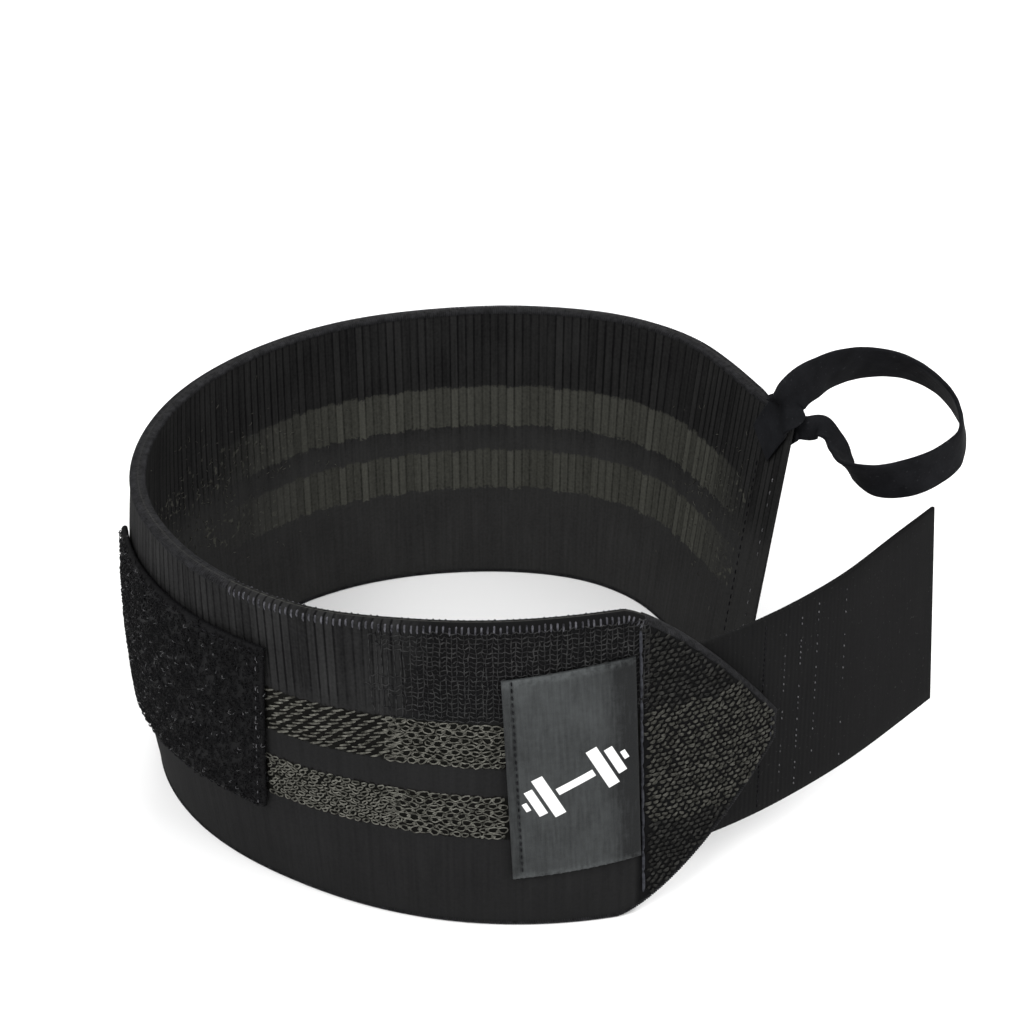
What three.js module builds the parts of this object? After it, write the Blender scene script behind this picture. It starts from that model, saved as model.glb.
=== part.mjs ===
// An elastic wrist wrap, open and standing on its long edge: a wide elastic band bent into a ring,
// with a sewn-on pile patch and label outside, a closure strap with hooks at one end and a thumb
// loop at the other. Millimetres, +Z up. The foot of the band lies on z = 0, and the origin is
// below the middle of the whole wrap.
import * as THREE from 'three';

// Elastic band
const bandLength = 377.8; // from the thumb end to the tip of the point
const bandWidth = 76;
const bandThickness = 3;
const sewnEndLength = 11; // flattened by stitching at the thumb end
const sewnEndThickness = 2;
const sewnEndFade = 6; // over which the full thickness comes back
const pointLength = 37; // the pointed end that is sewn over the closure strap
const noseWidth = 7;
const pointCurve = 1.38; // 1 cuts the point straight, more leaves its edges fuller

// Closure strap and the hook tape on its inner face
const strapFreeLength = 59.5; // beyond the tip of the point
const strapOverlap = 29; // under the pointed end
const strapWidth = 50;
const strapDrop = 0.5; // below the middle of the band
const strapThickness = 1.3;
const hookTapeThickness = 1.4;
const hookTapeMargin = 1.6;

// Pile patch for the hooks
const patchLength = 54;
const patchHeight = 43.5;
const patchThickness = 2;
const patchShear = -4; // the patch's foot lies this much further along than its top
const patchToNose = 109; // from the patch's near end to the tip of the point
const patchRaise = 5.2; // above the middle of the band

// Label
const labelLength = 26.2;
const labelHeight = 50;
const labelThickness = 1;
const labelToNose = 33.8;
const labelRaise = 0.6;
const labelSlant = 3; // the end by the point is sewn this much higher
const labelShear = 2.3; // its foot lies this much nearer the point than its top

// Thumb loop
const loopWidth = 10;
const loopThickness = 1;
const loopRoot = 11; // the sewn length of each leg, measured on the band
const innerLegSetback = 3.5; // from the band's end to where the inner leg crosses its upper edge
const innerLegAngle = 60; // how steeply it is sewn
const outerLegSetback = -1.2; // the same two for the leg on the outer face
const outerLegAngle = 45;
const outerLegWidth = 0.56; // share of the loop's width
const loopReach = 25;
const loopSpread = 37;
const loopRise = 8;

const gap = 0.3; // between pieces that are sewn together

// How the band lies, seen from above. at: share of the band's length from the thumb end.
// heading: direction of travel in degrees. lean: tilt of the wall outward in degrees.
// belly: how far the middle of the wall stands out, as a share of the band's width.
const bandCourse = [
  { at: 0.0, heading: 111.5, lean: 7.0, belly: 0 },
  { at: 0.1, heading: 118, lean: 6.5, belly: 0 },
  { at: 0.145, heading: 141, lean: 4.3, belly: 0 },
  { at: 0.19, heading: 164, lean: 2.4, belly: 0 },
  { at: 0.234, heading: 178, lean: 1.6, belly: 0 },
  { at: 0.278, heading: 188, lean: 0.8, belly: 0 },
  { at: 0.328, heading: 201, lean: 0.3, belly: 0 },
  { at: 0.381, heading: 218, lean: -0.3, belly: 0.01 },
  { at: 0.452, heading: 240, lean: -0.6, belly: 0.02 },
  { at: 0.538, heading: 270, lean: -0.5, belly: 0.035 },
  { at: 0.621, heading: 303, lean: 1.0, belly: 0.03 },
  { at: 0.687, heading: 324, lean: 2.8, belly: 0.015 },
  { at: 0.739, heading: 334, lean: 3.0, belly: 0.005 },
  { at: 0.79, heading: 346, lean: 1.0, belly: 0 },
  { at: 0.842, heading: 359, lean: -0.5, belly: 0 },
  { at: 0.893, heading: 371, lean: -1.5, belly: 0 },
  { at: 0.934, heading: 383, lean: -1.5, belly: 0 },
  { at: 1.0, heading: 395, lean: -2.0, belly: 0 },
];

// The same beyond the tip of the point. at: share of the strap's free length.
const strapCourse = [
  { at: 0.35, heading: 400, lean: -3, belly: 0 },
  { at: 0.7, heading: 405, lean: -5, belly: 0 },
  { at: 1.0, heading: 406, lean: -6, belly: 0 },
];

// Route of the thumb loop from the band's upper end corner, after its inner leg leaves the band.
// out: share of the reach, onward from the band's end. side: share of the spread, outward.
// rise: share of the rise. roll: turn of the strap about its route in degrees. width: share of
// the loop's width, less than 1 where the strap is gathered into its seam.
const loopCourse = [
  { out: -0.09, side: 0.004, rise: 0.66, roll: -13, width: 1 },
  { out: -0.12, side: 0.08, rise: 0.88, roll: -11, width: 1 },
  { out: -0.17, side: 0.195, rise: 0.96, roll: -6, width: 1 },
  { out: -0.248, side: 0.346, rise: 0.988, roll: 6, width: 1 },
  { out: -0.288, side: 0.581, rise: 0.912, roll: 20, width: 1 },
  { out: -0.168, side: 0.795, rise: 0.8, roll: 32, width: 1 },
  { out: 0.092, side: 0.93, rise: 0.55, roll: 34, width: 1 },
  { out: 0.432, side: 0.968, rise: 0.1, roll: 22, width: 1 },
  { out: 0.72, side: 0.87, rise: -0.375, roll: 4, width: 1 },
  { out: 0.824, side: 0.686, rise: -0.65, roll: 0, width: 1 },
  { out: 0.824, side: 0.492, rise: -0.838, roll: -2, width: 1 },
  { out: 0.72, side: 0.308, rise: -0.938, roll: -18, width: 1 },
  { out: 0.52, side: 0.205, rise: -0.838, roll: -40, width: 0.95 },
  { out: 0.372, side: 0.197, rise: -0.575, roll: -56, width: 0.8 },
  { out: 0.224, side: 0.195, rise: -0.287, roll: -72, width: 0.66 },
  { out: 0.104, side: 0.151, rise: -0.1, roll: -112, width: 0.6 },
  { out: 0.032, side: 0.096, rise: -0.22, roll: -154, width: 0.55 },
];

const degrees = Math.PI / 180;

// Smooth curve through the rows of a table: a cubic between two rows, with slopes from their
// neighbours. key is the column to look along, and column the one to read.
function readSmooth(rows, key, at, column) {
  const last = rows.length - 1;
  const x = Math.min(Math.max(at, rows[0][key]), rows[last][key]);
  let i = 0;
  while (i < last - 1 && rows[i + 1][key] < x) i += 1;
  const slope = (k) => {
    const before = rows[Math.max(k - 1, 0)];
    const after = rows[Math.min(k + 1, last)];
    return (after[column] - before[column]) / (after[key] - before[key]);
  };
  const span = rows[i + 1][key] - rows[i][key];
  const t = (x - rows[i][key]) / span;
  const t2 = t * t;
  const t3 = t2 * t;
  const start = (2 * t3 - 3 * t2 + 1) * rows[i][column] + (t3 - 2 * t2 + t) * span * slope(i);
  const end = (3 * t2 - 2 * t3) * rows[i + 1][column] + (t3 - t2) * span * slope(i + 1);
  return start + end;
}

// Both course tables as one, with at in millimetres from the thumb end.
const course = [
  ...bandCourse.map((row) => ({ ...row, at: row.at * bandLength })),
  ...strapCourse.map((row) => ({ ...row, at: bandLength + row.at * strapFreeLength })),
];
const courseLength = bandLength + strapFreeLength;

// The foot line of the wall, walked in short steps along the heading.
const stepCount = 872;
const footLine = [{ x: 0, y: 0 }];
for (let i = 0; i < stepCount; i += 1) {
  const step = courseLength / stepCount;
  const heading = readSmooth(course, 'at', (i + 0.5) * step, 'heading') * degrees;
  const from = footLine[i];
  footLine.push({ x: from.x + step * Math.cos(heading), y: from.y + step * Math.sin(heading) });
}

// A point of the wall: along the course, up the wall's slope, and outward from its middle layer.
function wallPoint(along, up, out) {
  const place = (along / courseLength) * stepCount;
  const i = Math.min(Math.max(Math.floor(place), 0), stepCount - 1);
  const from = footLine[i];
  const to = footLine[i + 1];
  const heading = readSmooth(course, 'at', along, 'heading') * degrees;
  const lean = readSmooth(course, 'at', along, 'lean') * degrees;
  const share = up / bandWidth;
  const belly = readSmooth(course, 'at', along, 'belly') * bandWidth * 4 * share * (1 - share);
  const sideways = up * Math.sin(lean) + belly + out;
  return new THREE.Vector3(
    from.x + (to.x - from.x) * (place - i) + Math.sin(heading) * sideways,
    from.y + (to.y - from.y) * (place - i) - Math.cos(heading) * sideways,
    up * Math.cos(lean),
  );
}

// Evenly spaced values from one end to the other, both included.
function spread(from, to, count) {
  return Array.from({ length: count + 1 }, (_, i) => from + ((to - from) * i) / count);
}

// A closed sheet with two faces and four edges. alongs are the places of its columns, rows is the
// number of bands across it, and place(along, share, side) gives a point, with side 1 or -1.
function closedSheet(alongs, rows, place) {
  const columns = alongs.length - 1;
  const points = [];
  for (const side of [1, -1]) {
    for (const along of alongs) {
      for (let j = 0; j <= rows; j += 1) points.push(...place(along, j / rows, side).toArray());
    }
  }
  const perFace = (columns + 1) * (rows + 1);
  const at = (i, j, side) => (side > 0 ? 0 : perFace) + i * (rows + 1) + j;
  const index = [];
  const quad = (a, b, c, d) => index.push(a, b, c, a, c, d);
  for (let i = 0; i < columns; i += 1) {
    for (let j = 0; j < rows; j += 1) {
      quad(at(i, j, 1), at(i + 1, j, 1), at(i + 1, j + 1, 1), at(i, j + 1, 1));
      quad(at(i, j, -1), at(i, j + 1, -1), at(i + 1, j + 1, -1), at(i + 1, j, -1));
    }
    quad(at(i, 0, 1), at(i, 0, -1), at(i + 1, 0, -1), at(i + 1, 0, 1));
    quad(at(i, rows, 1), at(i + 1, rows, 1), at(i + 1, rows, -1), at(i, rows, -1));
  }
  for (let j = 0; j < rows; j += 1) {
    quad(at(0, j, 1), at(0, j + 1, 1), at(0, j + 1, -1), at(0, j, -1));
    quad(at(columns, j, 1), at(columns, j, -1), at(columns, j + 1, -1), at(columns, j + 1, 1));
  }
  const geometry = new THREE.BufferGeometry();
  geometry.setAttribute('position', new THREE.Float32BufferAttribute(points, 3));
  geometry.setIndex(index);
  geometry.computeVertexNormals();
  return geometry;
}

// Half the band's thickness: thin where the thumb end is stitched flat, full beyond it.
function bandHalf(along) {
  const share = Math.min(Math.max((along - sewnEndLength) / sewnEndFade, 0), 1);
  const swell = share * share * (3 - 2 * share);
  return (sewnEndThickness + (bandThickness - sewnEndThickness) * swell) / 2;
}

// The elastic band, cut to a blunt point where it covers the closure strap.
function makeBand() {
  const shoulder = bandLength - pointLength;
  const alongs = [
    ...spread(0, sewnEndLength + sewnEndFade, 8),
    ...spread(sewnEndLength + sewnEndFade, shoulder, 104).slice(1),
    ...spread(shoulder, bandLength, 14).slice(1),
  ];
  const narrowest = (bandWidth - noseWidth) / 2;
  return closedSheet(alongs, 8, (along, share, side) => {
    const trim = narrowest * Math.max((along - shoulder) / pointLength, 0) ** pointCurve;
    const up = trim + (bandWidth - 2 * trim) * share;
    return wallPoint(along, up, side * bandHalf(along));
  });
}

// A flat piece that lies along the wall. from and to are its ends, low its foot and middle the
// distance of its middle layer from the wall's. slant is the rise of its foot from end to end, and
// shear how much further along its foot lies than its top.
function makeStrip({ from, to, low, height, middle, thickness, columns, rows, slant = 0, shear = 0 }) {
  return closedSheet(spread(from, to, columns), rows, (along, share, side) => {
    const onward = (along - from) / (to - from);
    const place = along + shear * (0.5 - share);
    return wallPoint(place, low + slant * onward + height * share, middle + (side * thickness) / 2);
  });
}

// The thumb loop: a narrow strap whose two legs are sewn flat on the band's upper end corner, one
// on its inner face and the other on its outer face.
function makeLoop() {
  const corner = wallPoint(0, bandWidth, 0);
  const heading = course[0].heading * degrees;
  const out = new THREE.Vector3(-Math.cos(heading), -Math.sin(heading), 0);
  const side = new THREE.Vector3(Math.sin(heading), -Math.cos(heading), 0);
  const up = new THREE.Vector3(0, 0, 1);
  const leanSlope = Math.tan(course[0].lean * degrees);
  const legDepth = sewnEndThickness / 2 + gap + loopThickness / 2;
  const legRow = (back, leg) => {
    const along = leg.setback + back * Math.cos(leg.angle * degrees);
    const height = bandWidth - back * Math.sin(leg.angle * degrees);
    const fromCorner = wallPoint(along, height, leg.face * legDepth).sub(corner);
    const flatRoll = Math.atan(leanSlope / Math.cos(leg.angle * degrees)) / degrees;
    return {
      out: fromCorner.dot(out),
      side: fromCorner.dot(side),
      rise: fromCorner.dot(up),
      roll: leg.face > 0 ? flatRoll - 180 : -flatRoll,
      width: leg.width,
    };
  };
  const innerLeg = { face: -1, setback: innerLegSetback, angle: innerLegAngle, width: 1 };
  const outerLeg = { face: 1, setback: outerLegSetback, angle: outerLegAngle, width: outerLegWidth };
  const free = loopCourse.map((row) => ({
    out: row.out * loopReach,
    side: row.side * loopSpread,
    rise: row.rise * loopRise,
    roll: row.roll,
    width: row.width,
  }));
  const rows = [
    ...[1, 0.5, 0, -0.3].map((share) => legRow(loopRoot * share, innerLeg)),
    ...free,
    ...[0.25, 0.38, 0.65, 1].map((share) => legRow(loopRoot * share, outerLeg)),
  ];
  let travelled = 0;
  rows.forEach((row, i) => {
    if (i > 0) {
      const before = rows[i - 1];
      travelled += Math.hypot(row.out - before.out, row.side - before.side, row.rise - before.rise);
    }
    row.at = travelled;
  });
  const centre = (at) => corner.clone()
    .addScaledVector(out, readSmooth(rows, 'at', at, 'out'))
    .addScaledVector(side, readSmooth(rows, 'at', at, 'side'))
    .addScaledVector(up, readSmooth(rows, 'at', at, 'rise'));
  const reach = 0.4;
  return closedSheet(spread(0, travelled, 84), 3, (at, share, face) => {
    const ahead = centre(Math.min(at + reach, travelled));
    const tangent = ahead.sub(centre(Math.max(at - reach, 0))).normalize();
    const upright = up.clone().addScaledVector(tangent, -up.dot(tangent)).normalize();
    const across = tangent.clone().cross(upright);
    const roll = readSmooth(rows, 'at', at, 'roll') * degrees;
    const widthways = new THREE.Vector3()
      .addScaledVector(upright, Math.cos(roll))
      .addScaledVector(across, Math.sin(roll));
    const normal = tangent.clone().cross(widthways);
    const width = loopWidth * readSmooth(rows, 'at', at, 'width');
    return centre(at)
      .addScaledVector(widthways, width * (share - 0.5))
      .addScaledVector(normal, (face * loopThickness) / 2);
  });
}

const wrap = new THREE.Group();

function addPiece(name, geometry, color, roughness) {
  const material = new THREE.MeshStandardMaterial({ color, roughness, metalness: 0 });
  const mesh = new THREE.Mesh(geometry, material);
  mesh.name = name;
  wrap.add(mesh);
}

const strapLow = (bandWidth - strapWidth) / 2 - strapDrop;
const strapMiddle = -(bandThickness / 2 + gap + strapThickness / 2);
const hookMiddle = strapMiddle - strapThickness / 2 - gap - hookTapeThickness / 2;
const strapStart = bandLength - strapOverlap;
const patchEnd = bandLength - patchToNose;
const labelEnd = bandLength - labelToNose;

addPiece('elastic_band', makeBand(), 0x17181a, 0.9);
addPiece('closure_strap', makeStrip({
  from: strapStart,
  to: courseLength,
  low: strapLow,
  height: strapWidth,
  middle: strapMiddle,
  thickness: strapThickness,
  columns: 30,
  rows: 4,
}), 0x151617, 0.75);
addPiece('hook_tape', makeStrip({
  from: strapStart + hookTapeMargin,
  to: courseLength - hookTapeMargin,
  low: strapLow + hookTapeMargin,
  height: strapWidth - 2 * hookTapeMargin,
  middle: hookMiddle,
  thickness: hookTapeThickness,
  columns: 30,
  rows: 4,
}), 0x101112, 0.8);
addPiece('pile_patch', makeStrip({
  from: patchEnd - patchLength,
  to: patchEnd,
  low: (bandWidth - patchHeight) / 2 + patchRaise,
  height: patchHeight,
  middle: bandThickness / 2 + gap + patchThickness / 2,
  thickness: patchThickness,
  columns: 34,
  rows: 6,
  shear: patchShear,
}), 0x111113, 0.95);
addPiece('label', makeStrip({
  from: labelEnd - labelLength,
  to: labelEnd,
  low: (bandWidth - labelHeight) / 2 + labelRaise,
  height: labelHeight,
  middle: bandThickness / 2 + gap + labelThickness / 2,
  thickness: labelThickness,
  columns: 10,
  rows: 5,
  slant: labelSlant,
  shear: labelShear,
}), 0x1d2023, 0.5);
addPiece('thumb_loop', makeLoop(), 0x1b1c1f, 0.85);

// The origin: on the surface that the wrap stands on, below the middle of its box.
const box = new THREE.Box3().setFromObject(wrap);
wrap.position.set(-(box.min.x + box.max.x) / 2, -(box.min.y + box.max.y) / 2, -box.min.z);
wrap.updateMatrixWorld(true);

export default wrap;
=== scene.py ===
"""An elastic wrist wrap, open and standing on its long edge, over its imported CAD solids. The
shapes are worked out in millimetres and stored in metres; the foot of the band lies on z = 0."""
import math

import bpy
import numpy as np
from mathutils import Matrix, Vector


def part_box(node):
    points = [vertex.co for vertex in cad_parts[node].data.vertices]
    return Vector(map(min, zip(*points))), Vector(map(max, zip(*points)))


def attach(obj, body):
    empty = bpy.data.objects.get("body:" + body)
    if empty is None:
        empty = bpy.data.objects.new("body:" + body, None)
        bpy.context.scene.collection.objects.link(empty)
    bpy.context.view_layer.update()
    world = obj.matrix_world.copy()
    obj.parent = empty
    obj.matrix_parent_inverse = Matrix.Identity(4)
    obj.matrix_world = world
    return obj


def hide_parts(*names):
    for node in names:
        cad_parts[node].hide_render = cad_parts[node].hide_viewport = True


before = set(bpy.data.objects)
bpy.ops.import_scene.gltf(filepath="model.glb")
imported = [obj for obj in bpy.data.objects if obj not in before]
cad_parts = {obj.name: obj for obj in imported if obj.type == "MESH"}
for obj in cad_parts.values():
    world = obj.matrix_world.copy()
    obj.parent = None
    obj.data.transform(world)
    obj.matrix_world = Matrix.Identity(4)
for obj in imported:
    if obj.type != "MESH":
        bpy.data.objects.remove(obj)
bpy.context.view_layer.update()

MM = 0.001
rng = np.random.default_rng(11)

# Sizes in millimetres, the same as the solids'.
BAND_LENGTH = 377.8
BAND_WIDTH = 76
BAND_THICKNESS = 3
SEWN_END_LENGTH = 11
SEWN_END_THICKNESS = 2
SEWN_END_FADE = 6
POINT_LENGTH = 37
NOSE_WIDTH = 7
POINT_CURVE = 1.38
STRAP_FREE_LENGTH = 59.5
STRAP_OVERLAP = 29
STRAP_WIDTH = 50
STRAP_DROP = 0.5
STRAP_THICKNESS = 1.3
HOOK_TAPE_THICKNESS = 1.4
HOOK_TAPE_MARGIN = 1.6
PATCH_LENGTH = 54
PATCH_HEIGHT = 43.5
PATCH_THICKNESS = 2
PATCH_SHEAR = -4
PATCH_TO_NOSE = 109
PATCH_RAISE = 5.2
LABEL_LENGTH = 26.2
LABEL_HEIGHT = 50
LABEL_THICKNESS = 1
LABEL_TO_NOSE = 33.8
LABEL_RAISE = 0.6
LABEL_SLANT = 3
LABEL_SHEAR = 2.3
LOOP_WIDTH = 10
LOOP_THICKNESS = 1
LOOP_ROOT = 11
LOOP_REACH = 25
LOOP_SPREAD = 37
LOOP_RISE = 8
GAP = 0.3

# Each leg of the thumb loop: face (-1 inside), setback, angle, width as a share, and where its
# rows lie, as shares of the sewn length.
INNER_LEG = (-1, 3.5, 60, 1, (1, 0.5, 0, -0.3))
OUTER_LEG = (1, -1.2, 45, 0.56, (0.25, 0.38, 0.65, 1))

# Knitting and sewing
INNER_RIB = 2.0  # pitch of the ribs inside
OUTER_RIB = 1.8  # pitch of the ribs outside
STRAP_RIB = 1.3  # pitch of the strap's ribs
STRAP_FADE = (382, 412)  # where the strap's ribs fade out
NET_START = 297  # from here on the outer face is an open net above the stripes
NET_PITCH = 1.1
EDGE_PITCH = 1.2  # of the yarns over the front edge
RIM_PITCH = 0.5  # of those over the rest of the edge, where they merge
STRIPE_HEIGHT = 11
STRIPE_FEET = (23.3, 41.4)  # of the two olive stripes, near the point
STRIPE_LIFT = 2.6  # how much higher they run at the far side
STRIPE_SLOPE = (245, 317)  # where they come down
# Where the stripes fray inside: at the thumb end, into the far bend and out of it.
STRIPE_BREAKS = (10, 33), (128, 172), (200, 235)
SEAM = 345  # where the seam crosses the band, and the knotted point begins
SEAM_LEAN = 2.3  # how much further along the seam lies 65 mm lower
TEETH_START = 262  # from here to the seam the edge's yarns stand apart

# Share of the band from its thumb end, heading, lean outward, belly as a share of the width.
BAND_COURSE = [
    (0.0, 111.5, 7.0, 0),
    (0.1, 118, 6.5, 0),
    (0.145, 141, 4.3, 0),
    (0.19, 164, 2.4, 0),
    (0.234, 178, 1.6, 0),
    (0.278, 188, 0.8, 0),
    (0.328, 201, 0.3, 0),
    (0.381, 218, -0.3, 0.01),
    (0.452, 240, -0.6, 0.02),
    (0.538, 270, -0.5, 0.035),
    (0.621, 303, 1.0, 0.03),
    (0.687, 324, 2.8, 0.015),
    (0.739, 334, 3.0, 0.005),
    (0.79, 346, 1.0, 0),
    (0.842, 359, -0.5, 0),
    (0.893, 371, -1.5, 0),
    (0.934, 383, -1.5, 0),
    (1.0, 395, -2.0, 0),
]
# Share of the strap's free length, heading, lean, belly.
STRAP_COURSE = [
    (0.35, 400, -3, 0),
    (0.7, 405, -5, 0),
    (1.0, 406, -6, 0),
]
# Thumb loop: out as a share of its reach, side of its spread, rise of its rise, roll in degrees,
# and width as a share.
LOOP_COURSE = [
    (-0.09, 0.004, 0.66, -13, 1),
    (-0.12, 0.08, 0.88, -11, 1),
    (-0.17, 0.195, 0.96, -6, 1),
    (-0.248, 0.346, 0.988, 6, 1),
    (-0.288, 0.581, 0.912, 20, 1),
    (-0.168, 0.795, 0.8, 32, 1),
    (0.092, 0.93, 0.55, 34, 1),
    (0.432, 0.968, 0.1, 22, 1),
    (0.72, 0.87, -0.375, 4, 1),
    (0.824, 0.686, -0.65, 0, 1),
    (0.824, 0.492, -0.838, -2, 1),
    (0.72, 0.308, -0.938, -18, 1),
    (0.52, 0.205, -0.838, -40, 0.95),
    (0.372, 0.197, -0.575, -56, 0.8),
    (0.224, 0.195, -0.287, -72, 0.66),
    (0.104, 0.151, -0.1, -112, 0.6),
    (0.032, 0.096, -0.22, -154, 0.55),
]


def smooth(rows, at, column):
    """Cubic between the rows of a table, with each row's slope taken from its neighbours."""
    table = np.array(rows, float)
    key, value = table[:, 0], table[:, column]
    slope = np.empty(len(key))
    slope[1:-1] = (value[2:] - value[:-2]) / (key[2:] - key[:-2])
    slope[0] = (value[1] - value[0]) / (key[1] - key[0])
    slope[-1] = (value[-1] - value[-2]) / (key[-1] - key[-2])
    x = np.clip(at, key[0], key[-1])
    i = np.clip(np.searchsorted(key, x, side="right") - 1, 0, len(key) - 2)
    span = key[i + 1] - key[i]
    t = (x - key[i]) / span
    start = (2 * t**3 - 3 * t**2 + 1) * value[i] + (t**3 - 2 * t**2 + t) * span * slope[i]
    end = (3 * t**2 - 2 * t**3) * value[i + 1] + (t**3 - t**2) * span * slope[i + 1]
    return start + end


COURSE_LENGTH = BAND_LENGTH + STRAP_FREE_LENGTH
COURSE = [(at * BAND_LENGTH, *rest) for at, *rest in BAND_COURSE]
COURSE += [(BAND_LENGTH + at * STRAP_FREE_LENGTH, *rest) for at, *rest in STRAP_COURSE]

STEP = 0.5
steps = np.arange(0, COURSE_LENGTH, STEP)
step_heading = np.radians(smooth(COURSE, steps + STEP / 2, 1))
foot_at = np.append(steps, COURSE_LENGTH)
foot_x = np.append(0, np.cumsum(np.cos(step_heading) * STEP))
foot_y = np.append(0, np.cumsum(np.sin(step_heading) * STEP))
shift = np.zeros(3)


def wall(along, up, out):
    """A point of the wall: the foot line at that length, then up the leaning slope with its belly,
    which is a parabola over the width, and outward from the middle layer on the level."""
    along, up, out = np.broadcast_arrays(along, up, out)
    heading = np.radians(smooth(COURSE, along, 1))
    lean = np.radians(smooth(COURSE, along, 2))
    share = up / BAND_WIDTH
    belly = smooth(COURSE, along, 3) * BAND_WIDTH * 4 * share * (1 - share)
    sideways = up * np.sin(lean) + belly + out
    return shift + np.stack(
        [
            np.interp(along, foot_at, foot_x) + np.sin(heading) * sideways,
            np.interp(along, foot_at, foot_y) - np.cos(heading) * sideways,
            up * np.cos(lean),
        ],
        -1,
    )


def wall_normal(along):
    """The wall's outward direction at that length."""
    heading = np.radians(smooth(COURSE, along, 1))
    lean = np.radians(smooth(COURSE, along, 2))
    return np.stack(
        [np.sin(heading) * np.cos(lean), -np.cos(heading) * np.cos(lean), -np.sin(lean)], -1
    )


def band_half(along):
    """Half the band's thickness: thin at the thumb end, then eased up to the full one."""
    share = np.clip((along - SEWN_END_LENGTH) / SEWN_END_FADE, 0, 1)
    swell = share * share * (3 - 2 * share)
    return (SEWN_END_THICKNESS + (BAND_THICKNESS - SEWN_END_THICKNESS) * swell) / 2


def band_trim(along):
    """How much the cut of the point takes off each edge."""
    narrowest = (BAND_WIDTH - NOSE_WIDTH) / 2
    share = np.clip((along - BAND_LENGTH + POINT_LENGTH) / POINT_LENGTH, 0, None)
    return narrowest * share**POINT_CURVE


# The foot line starts at nothing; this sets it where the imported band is.
probe_along = np.concatenate(
    [
        np.linspace(0, 17, 9),
        np.linspace(17, BAND_LENGTH - POINT_LENGTH, 105),
        np.linspace(BAND_LENGTH - POINT_LENGTH, BAND_LENGTH, 15),
    ]
)[:, None, None]
probe_share = np.linspace(0, 1, 9)[None, :, None]
probe_up = band_trim(probe_along) + (BAND_WIDTH - 2 * band_trim(probe_along)) * probe_share
probe = wall(probe_along, probe_up, band_half(probe_along) * np.array([1.0, -1.0])[None, None, :])
shift = np.array(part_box("elastic_band")[0]) / MM - probe.reshape(-1, 3).min(0)
shift[2] = 0


def add_piece(name, points, faces, finish, places=None):
    """Points in millimetres, faces as rows of point numbers, and places as each point's length
    along and height up the cloth, which its material reads."""
    mesh = bpy.data.meshes.new(name)
    mesh.from_pydata((np.asarray(points) * MM).tolist(), [], faces)
    if places is not None:
        layer = mesh.uv_layers.new(name="cloth")
        corner = np.empty(len(mesh.loops), np.int32)
        mesh.loops.foreach_get("vertex_index", corner)
        layer.data.foreach_set("uv", (np.asarray(places) / 100)[corner].astype(np.float32).ravel())
    mesh.polygons.foreach_set("use_smooth", [True] * len(mesh.polygons))
    mesh.materials.append(finish.material)
    piece = bpy.data.objects.new(name, mesh)
    bpy.context.scene.collection.objects.link(piece)
    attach(piece, "root")
    return piece


def both_faces(along, up):
    """Places for the points of a shell: lengths and heights, with 100 added on its back face."""
    places = np.stack([along.ravel(), up.ravel()], -1)
    return np.concatenate([places, places + [0, 100]])


def shell(front, back):
    """A closed sheet between two grids of points, with the four rims joined."""
    columns, rows = front.shape[0], front.shape[1]
    count = columns * rows
    number = np.arange(count).reshape(columns, rows)
    near = np.stack([number[:-1, :-1], number[1:, :-1], number[1:, 1:], number[:-1, 1:]], -1)
    far = near[..., ::-1] + count
    faces = [near.reshape(-1, 4), far.reshape(-1, 4)]
    low, high = number[:, 0], number[:, -1]
    first, last = number[0], number[-1]
    faces.append(np.stack([low[:-1], low[:-1] + count, low[1:] + count, low[1:]], -1))
    faces.append(np.stack([high[:-1], high[1:], high[1:] + count, high[:-1] + count], -1))
    faces.append(np.stack([first[:-1], first[1:], first[1:] + count, first[:-1] + count], -1))
    faces.append(np.stack([last[:-1], last[:-1] + count, last[1:] + count, last[1:]], -1))
    points = np.concatenate([front.reshape(-1, 3), back.reshape(-1, 3)])
    return points, np.concatenate(faces).tolist()


def threads(paths, normals, radius, sides=5, closed=False, tip=0.25):
    """Round tubes along many paths of equal point counts. The ring at each point lies across the
    path, set out from the normal given there. Open tubes narrow to their capped tips."""
    count, length = paths.shape[:2]
    if closed:
        along = np.roll(paths, -1, 1) - np.roll(paths, 1, 1)
    else:
        along = np.gradient(paths, axis=1)
    along = along / np.linalg.norm(along, axis=2, keepdims=True)
    across = np.cross(along, np.broadcast_to(normals, paths.shape))
    across /= np.linalg.norm(across, axis=2, keepdims=True)
    outward = np.cross(across, along)
    turn = np.linspace(0, 2 * np.pi, sides, endpoint=False)
    girth = np.broadcast_to(np.asarray(radius, float), (count, length)).copy()
    if not closed:
        girth[:, [0, -1]] *= tip
    ring = (
        np.cos(turn)[None, None, :, None] * across[:, :, None]
        + np.sin(turn)[None, None, :, None] * outward[:, :, None]
    )
    points = paths[:, :, None] + girth[:, :, None, None] * ring
    number = np.arange(count * length * sides).reshape(count, length, sides)
    here = number if closed else number[:, :-1]
    there = np.roll(number, -1, 1) if closed else number[:, 1:]
    quads = np.stack([here, there, np.roll(there, -1, 2), np.roll(here, -1, 2)], -1)
    faces = quads.reshape(-1, 4)[:, ::-1].tolist()
    if not closed:
        faces += number[:, 0].tolist()
        faces += number[:, -1, ::-1].tolist()
    return points.reshape(-1, 3), faces


def rounded(distance, radius):
    """A quarter circle: nothing at the edge and 1 from the radius inward."""
    inside = np.clip(distance / radius, 0, 1)
    return np.sqrt(1 - (1 - inside) ** 2)


def edge_rows(width, near, count):
    """Heights across a strip: close together at both edges, even between them."""
    near = np.array(near)
    middle = np.linspace(near[-1], width - near[-1], count)[1:-1]
    return np.concatenate([near, middle, width - near[::-1]])


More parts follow.
